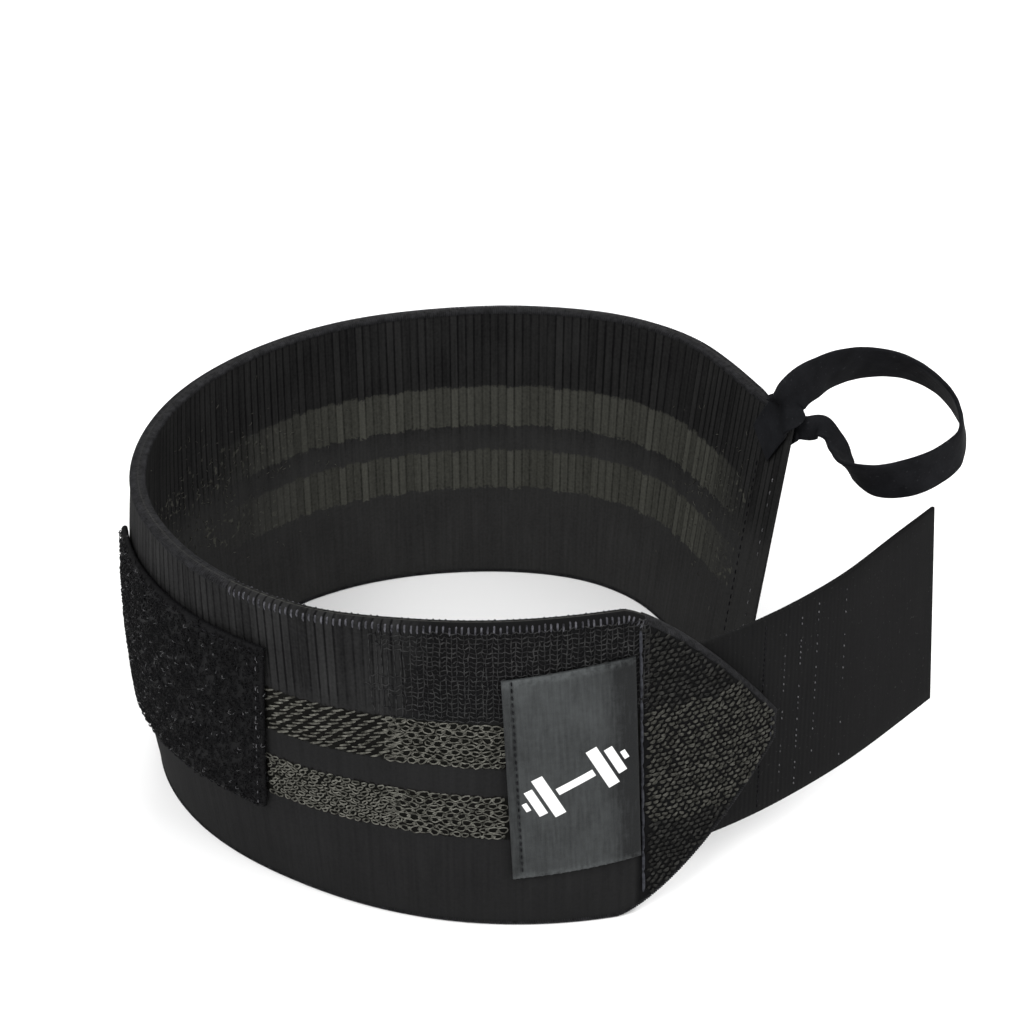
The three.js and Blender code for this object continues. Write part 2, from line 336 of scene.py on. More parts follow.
def strip(start, end, foot, height, middle, thickness, spacing, rows, corner=0.5, relief=None,
          slant=0, shear=0):
    """A flat piece on the wall, with rounded edges. relief gives extra height from the length, the
    height above the foot and the face, which is 1 outside and -1 inside. slant is the rise of the
    foot from end to end, and shear how much further along the foot lies than the top."""
    near = [0, corner * 0.12, corner * 0.4, corner]
    along = edge_rows(end - start, near, max(int((end - start) / spacing), 4)) + start
    up = edge_rows(height, near, rows)
    along, up = np.meshgrid(along, up, indexing="ij")
    inset = np.minimum(np.minimum(along - start, end - along), np.minimum(up, height - up))
    half = thickness / 2 * (0.2 + 0.8 * rounded(inset, corner))
    lift = slant * (along - start) / (end - start)
    faces = []
    for side in (1, -1):
        extra = relief(along, up, side) * rounded(inset, corner * 1.5) if relief else 0
        place = along + shear * (0.5 - up / height)
        faces.append(wall(place, foot + lift + up, middle + side * (half + extra)))
    points, polygons = shell(*faces)
    return points, polygons, both_faces(along, up)


class Wire:
    """One value in a material, with the operators that its patterns use."""

    def __init__(self, finish, socket):
        self.finish = finish
        self.socket = socket

    def math(self, operation, *others):
        values = dict(enumerate((self, *others)))
        return self.finish.node("Math", {"operation": operation}, values)

    def __add__(self, other):
        return self.math("ADD", other)

    def __mul__(self, other):
        return self.math("MULTIPLY", other)

    __radd__ = __add__
    __rmul__ = __mul__

    def __sub__(self, other):
        return self.math("SUBTRACT", other)

    def __rsub__(self, other):
        return self * -1 + other

    def __truediv__(self, other):
        return self.math("DIVIDE", other)

    def clamp(self):
        return self.math("MAXIMUM", 0).math("MINIMUM", 1)

    def step(self, low, high):
        """0 below low and 1 above high, eased between them."""
        sockets = {0: self, 1: low, 2: high, 3: 0.0, 4: 1.0}
        return self.finish.node("MapRange", {"interpolation_type": "SMOOTHSTEP"}, sockets)

    def wave(self, pitch):
        """A cosine from 0 to 1 with its crests a pitch apart."""
        return (self * (2 * math.pi / pitch)).math("COSINE") * 0.5 + 0.5


class Finish:
    """A material as it is made: its nodes and the shader that they feed."""

    def __init__(self, name, **constants):
        self.material = bpy.data.materials.new(name)
        self.material.use_nodes = True
        self.tree = self.material.node_tree
        self.shader = self.tree.nodes["Principled BSDF"]
        self.shader.inputs["Specular IOR Level"].default_value = 0.04
        for socket, value in constants.items():
            self.shader.inputs[socket.replace("_", " ")].default_value = value

    def feed(self, socket, value):
        if isinstance(value, Wire):
            self.tree.links.new(value.socket, socket)
        elif socket.type == "RGBA" and len(value) == 3:
            socket.default_value = (*value, 1)
        else:
            socket.default_value = value

    def node(self, kind, settings=None, sockets=None, output=0):
        """Any node: its settings are set first, then its sockets are filled or linked."""
        made = self.tree.nodes.new("ShaderNode" + kind)
        for setting, value in (settings or {}).items():
            setattr(made, setting, value)
        for socket, value in (sockets or {}).items():
            self.feed(made.inputs[socket], value)
        return Wire(self, made.outputs[output])

    def place(self):
        """The cloth's own length and height in millimetres, and 1 on its inner face."""
        split = self.node("SeparateXYZ", sockets={0: self.node("UVMap", {"uv_map": "cloth"})})
        along = split * 100
        height = Wire(self, split.socket.node.outputs[1]) * 100
        inner = height.math("GREATER_THAN", 95)
        return along, height - inner * 100, inner

    def spot(self):
        """The object's own coordinates."""
        return self.node("TexCoord", output=3)

    def noise(self, scale, detail=2.0, roughness=0.5, where=None):
        sockets = {"Vector": where or self.spot(), "Scale": scale, "Detail": detail,
                   "Roughness": roughness}
        return self.node("TexNoise", sockets=sockets)

    def combine(self, x, y, z):
        return self.node("CombineXYZ", sockets={0: x, 1: y, 2: z})

    def mix(self, factor, first, second):
        sockets = {0: factor, 6: first, 7: second}
        return self.node("Mix", {"data_type": "RGBA"}, sockets, output=2)

    def finish(self, color, roughness, height=None, depth=0.2, strength=0.6):
        """Feeds the shader: colour, roughness, and relief of that depth in millimetres."""
        self.feed(self.shader.inputs["Base Color"], color)
        self.feed(self.shader.inputs["Roughness"], roughness)
        if height is not None:
            sockets = {"Height": height, "Distance": depth * MM, "Strength": strength}
            self.feed(self.shader.inputs["Normal"], self.node("Bump", sockets=sockets))
        return self


def between(value, low, high, soft):
    """1 from low to high, eased over a short way at both ends."""
    return value.step(low - soft, low + soft) * (1 - value.step(high - soft, high + soft))


def elastic_finish():
    """Ribbed elastic. Painted shade darkens the grooves between the ribs in the upper half, and the
    lower half is smooth. Two olive stripes are ragged from rib to rib inside; they break up into
    specks at the thumb end and in the far bend."""
    cloth = Finish("ribbed_elastic")
    along, height, inner = cloth.place()
    fuzz = cloth.noise(1500, 3)
    patchy = cloth.noise(70, 2)
    streak = cloth.noise(1, 2, where=cloth.combine(along * 1.3, height * 0.04, 0))
    pitch = inner * (INNER_RIB - OUTER_RIB) + OUTER_RIB
    order = along / pitch + 0.5
    each = cloth.node("TexWhiteNoise", {"noise_dimensions": "1D"}, {"W": order.math("FLOOR")})
    groove = order.math("FRACT").math("PINGPONG", 0.5).step(0.2, 0.02) * (0.25 + each * 0.75)
    upper = height.step(38, 50) * inner + height.step(50, 58) * (1 - inner)
    net = (along + (patchy - 0.5) * 12).step(NET_START - 2, NET_START + 6)
    net = net * height.step(51, 54) * (1 - inner)
    point = along.step(SEAM - 1, SEAM + 0.5) * (1 - inner)
    groove = groove * (1 - net) * (1 - point)
    slope_start, slope_end = STRIPE_SLOPE
    lift = (1 - ((along - slope_start) / (slope_end - slope_start)).clamp()) * STRIPE_LIFT
    level = height - lift + (each - 0.5) * inner * 0.9 + (fuzz - 0.5) * 2.4
    low, high = STRIPE_FEET
    stripes = between(level, low, low + STRIPE_HEIGHT, 0.3)
    stripes = stripes + between(level, high, high + STRIPE_HEIGHT, 0.3)
    thumb_end, into_bend, out_of_bend = STRIPE_BREAKS
    bend = along.step(*into_bend) * (1 - along.step(*out_of_bend)) * inner
    broken = ((1 - along.step(*thumb_end)) + bend).clamp()
    specks = cloth.noise(620, 1).step(0.62, 0.68)
    stripes = stripes.clamp() * (1 - broken + specks * broken).clamp()
    stripes = stripes * along.step(9, 13) * (1 - point)
    groove = groove * (upper * 0.75).math("MAXIMUM", stripes * inner * 0.8)
    shade = (1 - upper) * 0.25 + streak * 0.45 + (each - 0.5) * upper * 0.2 + fuzz * 0.4
    shade = shade + patchy * 0.3 - 0.25
    outer = cloth.mix(upper, (0.0165, 0.0165, 0.0167), (0.036, 0.036, 0.036))
    pale = cloth.mix(inner, outer, (0.031, 0.0308, 0.0303))
    # groove darkens the colour here and in olive_shade below: painted shade in the grooves between
    # the ribs. In the bump it is their real relief.
    black = cloth.mix((shade - groove * 0.6).clamp(), (0.003, 0.003, 0.0032), pale)
    black = cloth.mix((net + point).clamp() * 0.9, black, (0.0035, 0.0035, 0.0037))
    olive_shade = (streak * 0.5 + fuzz * 0.6 + (each - 0.5) * 0.3 - groove * 0.6 - 0.03).clamp()
    olive_dark = cloth.mix(inner, (0.002, 0.002, 0.0018), (0.008, 0.008, 0.007))
    olive_pale = cloth.mix(inner, (0.006, 0.006, 0.005), (0.064, 0.064, 0.055))
    olive = cloth.mix(olive_shade, olive_dark, olive_pale)
    color = cloth.mix(stripes, black, olive)
    roughness = 0.85 + (fuzz - 0.5) * 0.1
    return cloth.finish(color, roughness, fuzz * 0.5 + streak * 0.4 - groove * 0.3, 0.2, 0.5)


def yarn_finish(name, dark, pale):
    """Twisted yarn: fine fibres, and dark and pale in turn about every millimetre."""
    yarn = Finish(name)
    fine = yarn.noise(2600, 3)
    broad = yarn.noise(850, 2)
    color = yarn.mix((fine * 0.7 + broad * 2.4 - 1.1).clamp(), dark, pale)
    return yarn.finish(color, 0.75 + (fine - 0.5) * 0.2, fine, 0.12, 0.6)


def tape_finish():
    """Smooth woven tape: close fine ribs across it that fade along the strap, and a little lint."""
    tape = Finish("smooth_tape")
    along, height = tape.place()[:2]
    rib = along.wave(STRAP_RIB) * (1 - along.step(*STRAP_FADE))
    fuzz = tape.noise(1500, 3)
    broad = tape.noise(40, 2)
    streak = tape.noise(1, 2, where=tape.combine(along * 1.1, height * 0.05, 0))
    lint = tape.noise(1700, 0).step(0.78, 0.82)
    shade = (rib * 0.1 + streak * 0.4 + fuzz * 0.35 + broad * 0.4 - 0.2).clamp()
    color = tape.mix(shade, (0.0025, 0.0025, 0.0027), (0.0095, 0.0095, 0.0096))
    color = tape.mix(lint * 0.12, color, (0.1, 0.1, 0.095))
    return tape.finish(color, 0.75 + (fuzz - 0.5) * 0.2, rib * 0.2 + fuzz * 0.4, 0.15, 0.4)


def pile_finish(name, dark, pale):
    """Nylon fibres, a little brighter than cloth where they bend."""
    pile = Finish(name)
    fine = pile.noise(2400, 2)
    color = pile.mix((fine * 1.2 - 0.1).clamp(), dark, pale)
    return pile.finish(color, 0.6 + (fine - 0.5) * 0.2, fine, 0.15, 0.5)


def label_finish():
    """Soft faux leather: fine grain, darkened with painted shade towards the point, with a
    pressed-on
    pictogram of a plain dumbbell: a bar with two plates at each end, all straight boxes."""
    hide = Finish("label_faux_leather", Specular_IOR_Level=0.12)
    along, height, inner = hide.place()
    grain = hide.node(
        "TexVoronoi", {"feature": "DISTANCE_TO_EDGE"}, {"Vector": hide.spot(), "Scale": 1900}
    ).step(0.0, 0.25)
    fuzz = hide.noise(800, 4, 0.6)
    broad = hide.noise(60, 3)
    streak = hide.noise(1, 3, where=hide.combine(along * 1.6, height * 0.12, 0))
    onward = along - (BAND_LENGTH - LABEL_TO_NOSE - LABEL_LENGTH)
    across = onward - 13.4
    raised = height - LABEL_HEIGHT * 0.46
    turned = math.radians(24)
    x = (across * math.cos(turned) + raised * math.sin(turned)).math("ABSOLUTE") * 0.9
    y = (raised * math.cos(turned) - across * math.sin(turned)).math("ABSOLUTE") * 0.9

    def box(low, high, half):
        return between(x, low, high, 0.08) * (1 - y.step(half - 0.08, half + 0.08))

    bar, tall_plate = box(-1, 3.6, 0.8), box(4.3, 6.4, 4.9)
    low_plate, bar_end = box(7.1, 8.7, 3.2), box(9.3, 10.2, 1.0)
    mark = (bar + tall_plate + low_plate + bar_end).clamp() * (1 - inner)
    # dim: painted shade darkening the label's last 9 mm towards the point, beside the seam, and a
    # darker hem strip at its free end.
    dim = onward.step(LABEL_LENGTH - 9, LABEL_LENGTH) * 0.6 + (1 - onward.step(1.6, 2.3)) * 0.2
    scuff = (1 - height.math("PINGPONG", LABEL_HEIGHT / 2).step(0.4, 2.2)) * (fuzz - 0.3) * 1.4
    shade = (streak * 0.7 + fuzz * 0.5 + broad * 0.7 - 0.45 - dim + scuff).clamp()
    color = hide.mix(shade, (0.008, 0.0086, 0.009), (0.052, 0.056, 0.057))
    color = hide.mix(mark, color, (0.8, 0.8, 0.79))
    roughness = 0.6 + (fuzz - 0.5) * 0.2
    return hide.finish(color, roughness, grain * 0.4 + fuzz * 0.6 + mark * 0.4, 0.12, 0.5)


def loop_finish():
    """Narrow soft webbing, like felt: mottled, with painted light making the inner leg paler near
    its root, and with a few caught specks."""
    web = Finish("loop_strap")
    fuzz = web.noise(1700, 3)
    mottle = web.noise(230, 3, 0.6)
    broad = web.noise(60, 1)
    lint = web.noise(1500, 0).step(0.76, 0.81)
    # Painted light: the webbing is made paler over its first 15 mm, at the root of the inner leg.
    root = 1 - web.place()[0].step(7, 15)
    shade = (mottle * 0.8 + fuzz * 0.4 + broad * 0.5 - 0.5 + root * 0.4).clamp()
    color = web.mix(shade, (0.0025, 0.0026, 0.003), (0.0125, 0.013, 0.015))
    color = web.mix(lint * 0.1, color, (0.08, 0.08, 0.088))
    return web.finish(color, 0.78 + (fuzz - 0.5) * 0.15, mottle * 0.5 + fuzz * 0.5, 0.2, 0.5)


def plain_finish(name, color, roughness=0.9):
    return Finish(name).finish(color, roughness)


elastic = elastic_finish()
rim_finish = yarn_finish("rim_yarn", (0.009, 0.009, 0.0095), (0.021, 0.021, 0.0225))
# tooth_yarn's pale colour is partly painted highlight, on the black yarns along the front's upper
# edge.
tooth_finish = yarn_finish("tooth_yarn", (0.012, 0.012, 0.014), (0.085, 0.085, 0.095))
net_finish = yarn_finish("net_yarn", (0.006, 0.006, 0.0065), (0.034, 0.034, 0.034))
olive_yarn = yarn_finish("olive_yarn", (0.02, 0.0197, 0.0165), (0.14, 0.138, 0.12))
knot_yarn = yarn_finish("knot_yarn", (0.012, 0.012, 0.0105), (0.072, 0.071, 0.062))
dark_knot = yarn_finish("dark_knot", (0.006, 0.006, 0.0058), (0.032, 0.0317, 0.0295))
hook_nylon = yarn_finish("hook_nylon", (0.002, 0.002, 0.0023), (0.01, 0.01, 0.011))
pale_thread = yarn_finish("pale_thread", (0.02, 0.02, 0.022), (0.14, 0.14, 0.145))
dark_thread = yarn_finish("dark_thread", (0.002, 0.002, 0.0025), (0.016, 0.016, 0.018))
seam_thread = yarn_finish("seam_thread", (0.016, 0.0165, 0.0195), (0.045, 0.047, 0.055))
tape = tape_finish()
pile = pile_finish("pile", (0.002, 0.002, 0.0023), (0.0085, 0.0085, 0.009))
# Pale fibres whose colour is painted highlight: the glints on the pile.
glint = pile_finish("pile_glint", (0.02, 0.02, 0.021), (0.16, 0.16, 0.165))
hide = label_finish()
webbing = loop_finish()


def band_relief(along, up, side):
    """Narrow grooves between the ribs, -depth * cos(pi * along / pitch) ** 12, over the stripes."""
    pitch, depth, low = (OUTER_RIB, 0.08, 46) if side > 0 else (INNER_RIB, 0.07, 30)
    fade = np.clip((up - low) / 14, 0.04, 1)
    fade = fade * np.clip((along - SEWN_END_LENGTH) / SEWN_END_FADE, 0.1, 1)
    if side > 0:
        fade = fade * np.clip((NET_START + 4 - along) / 8, 0, 1)
    return -depth * fade * np.cos(np.pi * along / pitch) ** 12


def make_band():
    """The band's two faces over its length and width, rounded at every edge, with its ribs."""
    along = np.linspace(0, BAND_LENGTH, 1247)
    share = edge_rows(1, [0, 0.002, 0.006, 0.012, 0.02], 26)
    along, share = np.meshgrid(along, share, indexing="ij")
    trim = band_trim(along)
    width = BAND_WIDTH - 2 * trim
    up = trim + width * share
    inset = np.minimum(np.minimum(share, 1 - share) * width, np.minimum(along, BAND_LENGTH - along))
    half = band_half(along) * (0.15 + 0.85 * rounded(inset, 1.3))
    grids = [
        wall(along, up, side * (half + band_relief(along, up, side) * rounded(inset, 2)))
        for side in (1, -1)
    ]
    points, faces = shell(*grids)
    return add_piece("elastic_band_cloth", points, faces, elastic, both_faces(along, up))


band = make_band()
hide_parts("elastic_band")


def eased(value, low, high):
    """0 below low and 1 above high, with level ends: 3 t^2 - 2 t^3."""
    t = np.clip((value - low) / (high - low), 0, 1)
    return t * t * (3 - 2 * t)


def toothed(along, up):
    """Where the edge's yarns stand apart: along the front's upper edge, short of the seam."""
    return (along > TEETH_START) & (along < SEAM) & (up > 10)


def edge_places():
    """Places round the band's edge: length, height, and the direction inward. They lie a pitch
    apart at the front and closer elsewhere, so that the yarns there merge into a smooth rim."""
    fine = np.linspace(1, BAND_LENGTH, 3000)
    trim = band_trim(fine)
    nose = np.linspace(BAND_WIDTH - trim[-1], trim[-1], 60)
    a = np.concatenate([fine, np.full(60, BAND_LENGTH), fine[::-1]])
    v = np.concatenate([BAND_WIDTH - trim, nose, trim[::-1]])
    step = np.hypot(np.diff(a), np.diff(v))
    spacing = np.where(toothed(a, v), EDGE_PITCH, RIM_PITCH)[1:]
    count = np.append(0, np.cumsum(step / spacing))
    order = np.arange(0.5, count[-1])
    order = order + rng.normal(0, 0.04, len(order))
    a_at, v_at = np.interp(order, count, a), np.interp(order, count, v)
    run = np.interp(order + 0.3, count, a) - np.interp(order - 0.3, count, a)
    rise = np.interp(order + 0.3, count, v) - np.interp(order - 0.3, count, v)
    length = np.hypot(run, rise)
    return np.stack([a_at, v_at, rise / length, -run / length], -1)


def make_edge_yarn(name, places, reach, girth, play, finish):
    """A short yarn over the edge at every place, from one face round to the other. reach is how
    far it comes down each face, and play how unevenly."""
    half = band_half(places[:, 0])
    profile = np.array(
        [[1, 1.0, -0.2], [0.6, 1.0, 0.05], [0.25, 0.85, 0.05], [0.12, 0, 0], [0.25, -0.85, -0.05],
         [0.6, -1.0, -0.05], [1, -1.0, 0.2]]
    )
    length = reach * rng.normal(1, play, len(places))
    inward = profile[None, :, 0] ** 0.9 * length[:, None]
    along = places[:, None, 0] + places[:, None, 2] * inward
    up = places[:, None, 1] + places[:, None, 3] * inward
    out = half[:, None] * profile[None, :, 1] + profile[None, :, 2]
    tangent = wall(places[:, 0] + 0.1, places[:, 1], 0) - wall(places[:, 0] - 0.1, places[:, 1], 0)
    normals = np.broadcast_to(tangent[:, None], (*along.shape, 3))
    points, faces = threads(wall(along, up, out), normals, girth, 6, tip=0.5)
    return add_piece(name, points, faces, finish)


edge = edge_places()
front = toothed(edge[:, 0], edge[:, 1])
edge_yarns = [
    make_edge_yarn("rim_yarn", edge[~front], 1.2, 0.27, 0.01, rim_finish),
    make_edge_yarn("edge_teeth", edge[front], 2.2, 0.23, 0.1, tooth_finish),
]


def ovals(name, a, v, reach, rise, tilt, radius, finish):
    """Closed oval threads on the band's outer face: x = reach cos, y = rise sin, turned by the
    tilt, with both ends dipping into the cloth."""
    turn = np.linspace(0, 2 * np.pi, 9, endpoint=False)
    uneven = rng.normal(1, 0.11, (len(a), 9))
    x = reach[:, None] * np.cos(turn) * uneven
    y = rise[:, None] * np.sin(turn) * uneven
    along = a[:, None] + x * np.cos(tilt)[:, None] - y * np.sin(tilt)[:, None]
    up = v[:, None] + x * np.sin(tilt)[:, None] + y * np.cos(tilt)[:, None]
    dip = 0.12 * np.cos(2 * turn + np.pi) + rng.normal(0, 0.04, along.shape)
    out = band_half(along) + 0.5 * radius + dip
    points, faces = threads(wall(along, up, out), wall_normal(along), radius, 4, closed=True)
    return add_piece(name, points, faces, finish)


def stripe_rows(start, end, spacing, height, feet):
    """Staggered places in the stripes with those feet, each one set a little off."""
    columns = np.arange(start, end, spacing / 2)
    a, v = [], []
    for foot in feet:
        count = round(STRIPE_HEIGHT / height)
        for j in range(count):
            here = columns[(j % 2) :: 2]
            a.append(here)
            v.append(np.full(len(here), foot + (j + 0.5) * STRIPE_HEIGHT / count))
    a, v = np.concatenate(a), np.concatenate(v)
    slope_start, slope_end = STRIPE_SLOPE
    v = v + (1 - np.clip((a - slope_start) / (slope_end - slope_start), 0, 1)) * STRIPE_LIFT
    return a + rng.normal(0, 0.07 * spacing, len(a)), v + rng.normal(0, 0.07 * height, len(a))


STRAP_FOOT = (BAND_WIDTH - STRAP_WIDTH) / 2 - STRAP_DROP
STRAP_MIDDLE = -(BAND_THICKNESS / 2 + GAP + STRAP_THICKNESS / 2)
STRAP_FACE = STRAP_MIDDLE + STRAP_THICKNESS / 2
HOOK_MIDDLE = STRAP_MIDDLE - STRAP_THICKNESS / 2 - GAP - HOOK_TAPE_THICKNESS / 2
STRAP_START = BAND_LENGTH - STRAP_OVERLAP
PATCH_END = BAND_LENGTH - PATCH_TO_NOSE
PATCH_START = PATCH_END - PATCH_LENGTH
PATCH_FOOT = (BAND_WIDTH - PATCH_HEIGHT) / 2 + PATCH_RAISE
PATCH_FACE = BAND_THICKNESS / 2 + GAP + PATCH_THICKNESS
LABEL_END = BAND_LENGTH - LABEL_TO_NOSE
LABEL_START = LABEL_END - LABEL_LENGTH
LABEL_FOOT = (BAND_WIDTH - LABEL_HEIGHT) / 2 + LABEL_RAISE
LABEL_FACE = BAND_THICKNESS / 2 + GAP + LABEL_THICKNESS

# The yarn of the olive stripes on the outer face: name, start, end, spacing, height of a row, feet,
# half length, half height, tilt in radians, how much the tilt plays, and radius.
STRIPE_YARN = [
    ("stripe_loops", 295, LABEL_START, 2.1, 1.57, STRIPE_FEET, 0.98, 0.68, 0.06, 0.25, 0.17),
    ("stripe_links", 296.0, LABEL_START, 2.1, 1.57, STRIPE_FEET, 0.3, 0.2, 0.5, 0.3, 0.19),
    ("slanting_strokes", PATCH_END + 1, 297, 2.5, 1.2, STRIPE_FEET[1:], 1.3, 0.1, 0.36, 0.06, 0.15),
    ("stripe_knots", PATCH_END - 0.6, 296, 1.75, 1.25, STRIPE_FEET[:1], 0.72, 0.44, 0.3, 0.3, 0.19),
    ("far_knots", 18, PATCH_START - 1, 2.2, 1.57, STRIPE_FEET, 0.9, 0.6, 0.3, 0.3, 0.2),
]


def make_stripe_yarn(name, start, end, spacing, height, feet, reach, rise, tilt, play, radius):
    """One row of the table above: loops, links, strokes or knots all over its part of a stripe."""
    a, v = stripe_rows(start, end, spacing, height, feet)
    size = rng.normal(1, 0.12, len(a))
    tilts = rng.normal(tilt, play, len(a))
    return ovals(name, a, v, reach * size, rise * size, tilts, radius, olive_yarn)


def make_point_knots():
    """Small knots of yarn all over the pointed end, in staggered rows that start at the leaning
    seam. Those that go on from the stripes and between them are olive, the others dark."""
    columns = np.arange(SEAM - 0.8, BAND_LENGTH - 1.6, 0.78)
    places = []
    for j in range(62):
        here = columns[(j % 2) :: 2]
        places.append(np.stack([here, np.full(len(here), 2.0 + j * 1.18)], -1))
    a, v = np.concatenate(places).T
    keep = (v > band_trim(a) + 1.8) & (v < BAND_WIDTH - band_trim(a) - 1.8)
    keep &= a > SEAM - 0.1 + (71 - v) * SEAM_LEAN / 65
    a, v = a[keep], v[keep]
    a = a + rng.normal(0, 0.1, len(a))
    v = v + rng.normal(0, 0.1, len(a))
    size = rng.normal(1, 0.2, len(a))
    tilt = rng.normal(0.35, 0.3, len(a))
    level = v - STRIPE_FEET[0] + rng.normal(0, 0.8, len(a))
    striped = (level > 0) & (level < STRIPE_FEET[1] - STRIPE_FEET[0] + STRIPE_HEIGHT)
    made = []
    kinds = [("olive_knots", striped, knot_yarn), ("dark_knots", ~striped, dark_knot)]
    for name, those, finish in kinds:
        reach, rise = 0.5 * size[those], 0.16 * size[those]
        made.append(ovals(name, a[those], v[those], reach, rise, tilt[those], 0.25, finish))
    return made


def make_specks():
    """Loose ends of olive yarn that stand out of the inner face, thickest in the far bend, as short
    low arches."""
    count = 460
    a = np.where(rng.random(count) < 0.75, rng.normal(170, 17, count), rng.normal(24, 8, count))
    v = rng.normal(42, 11, count)
    keep = (a > 9) & (v > 8) & (v < BAND_WIDTH - 6)
    a, v = a[keep], v[keep]
    count = len(a)
    way = rng.uniform(0, 2 * np.pi, count)
    size = rng.uniform(0.4, 1.3, count)
    t = np.linspace(0, 1, 5)
    along = a[:, None] + (size * np.cos(way))[:, None] * (t - 0.5)
    up = v[:, None] + (size * np.sin(way))[:, None] * (t - 0.5) + 0.2 * t * (1 - t)
    out = -band_half(along) - 1.1 * t * (1 - t) * rng.uniform(0.3, 1, (count, 1))
    points, faces = threads(wall(along, up, out), wall_normal(along), 0.09, 4, tip=0.6)
    return add_piece("loose_ends", points, faces, knot_yarn)


def make_net():
    """A net of fine yarns above the stripes: standing ones a pitch apart, and lying ones that
    swing a little between them."""
    top, low = BAND_WIDTH - 1.8, STRIPE_FEET[1] + STRIPE_HEIGHT + 0.9
    a = np.arange(NET_START - 5, SEAM + 1, NET_PITCH)
    v = np.linspace(low, top, 15)
    standing = a[:, None] + rng.normal(0, 0.12, (len(a), len(v))) + rng.normal(0, 0.16, (len(a), 1))
    paths = wall(standing, v, BAND_THICKNESS / 2 + 0.06 + 0.08 * np.cos(np.arange(len(v)) * np.pi))
    one = threads(paths, wall_normal(standing), rng.normal(0.14, 0.03, paths.shape[:2]), 4)
    rows = np.arange(low, top, NET_PITCH)
    share = np.linspace(0, 1, 130)
    begin = NET_START + rng.uniform(-7, 5, len(rows))
    along = begin[:, None] + (SEAM + 1 - begin[:, None]) * share
    swing = 0.2 * np.sin(np.pi * along / NET_PITCH) + rng.normal(0, 0.12, along.shape)
    dip = 0.09 * np.cos(2 * np.pi * along / NET_PITCH)
    lying = wall(along, rows[:, None] + swing, BAND_THICKNESS / 2 + 0.06 + dip)
    other = threads(lying, wall_normal(along), rng.normal(0.14, 0.03, lying.shape[:2]), 4)
    points = np.concatenate([one[0], other[0]])
    faces = one[1] + [[corner + len(one[0]) for corner in face] for face in other[1]]
    return add_piece("net_yarn", points, faces, net_finish)


yarns = [make_stripe_yarn(*row) for row in STRIPE_YARN]
yarns += [*make_point_knots(), make_specks(), make_net(), *edge_yarns]


def strap_relief(along, up, side):
    """Low ribs across the strap, 0.02 cos(2 pi along / pitch), that fade out along it."""
    start, end = STRAP_FADE
    fade = np.clip((end - along) / (end - start), 0, 1)
    return 0.02 * np.cos(2 * np.pi * along / STRAP_RIB) * fade


def lay(name, made, finish):
    """A piece from what strip returns."""
    return add_piece(name, made[0], made[1], finish, made[2])


made = strip(STRAP_START, COURSE_LENGTH, STRAP_FOOT, STRAP_WIDTH, STRAP_MIDDLE, STRAP_THICKNESS,
             0.33, 16, relief=strap_relief)
strap = lay("closure_strap_cloth", made, tape)
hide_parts("closure_strap")

hook_start = STRAP_START + HOOK_TAPE_MARGIN
hook_end = COURSE_LENGTH - HOOK_TAPE_MARGIN
hook_foot = STRAP_FOOT + HOOK_TAPE_MARGIN
hook_height = STRAP_WIDTH - 2 * HOOK_TAPE_MARGIN
made = strip(hook_start, hook_end, hook_foot, hook_height, HOOK_MIDDLE + 0.35, 0.7, 2.0, 14)
hook_tape = lay("hook_tape_base", made, tape)
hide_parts("hook_tape")


def make_hooks():
    """Rows of little nylon hooks on the tape's inner face, each a bent thread."""
    a = np.arange(hook_start + 1, hook_end - 1, 1.5)
    v = np.arange(hook_foot + 1, hook_foot + hook_height - 0.8, 1.25)
    a, v = (grid.ravel() for grid in np.meshgrid(a, v, indexing="ij"))
    v = v + 0.6 * (np.arange(len(a)) % 2)
    a = a + rng.normal(0, 0.1, len(a))
    face = HOOK_MIDDLE
    bend = np.array([[0, 0.15], [0, -0.45], [0.18, -0.82], [0.52, -0.9], [0.72, -0.62]])
    way = np.where(rng.random(len(a)) > 0.5, 1.0, -1.0)
    along = a[:, None] + way[:, None] * bend[None, :, 0]
    up = np.broadcast_to(v[:, None], along.shape)
    out = face + np.broadcast_to(bend[None, :, 1], along.shape)
    rise = wall(a, v + 0.1, 0) - wall(a, v, 0)
    normals = np.broadcast_to(rise[:, None], (*along.shape, 3))
    points, faces = threads(wall(along, up, out), normals, 0.13, 4, tip=0.8)
    return add_piece("hook_field", points, faces, hook_nylon)


hooks = make_hooks()

made = strip(PATCH_START, PATCH_END, PATCH_FOOT, PATCH_HEIGHT,
             PATCH_FACE - PATCH_THICKNESS / 2 - 0.2, PATCH_THICKNESS - 0.4, 1.2, 24, corner=0.9,
             shear=PATCH_SHEAR)
patch = lay("pile_patch_cloth", made, pile)
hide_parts("pile_patch")


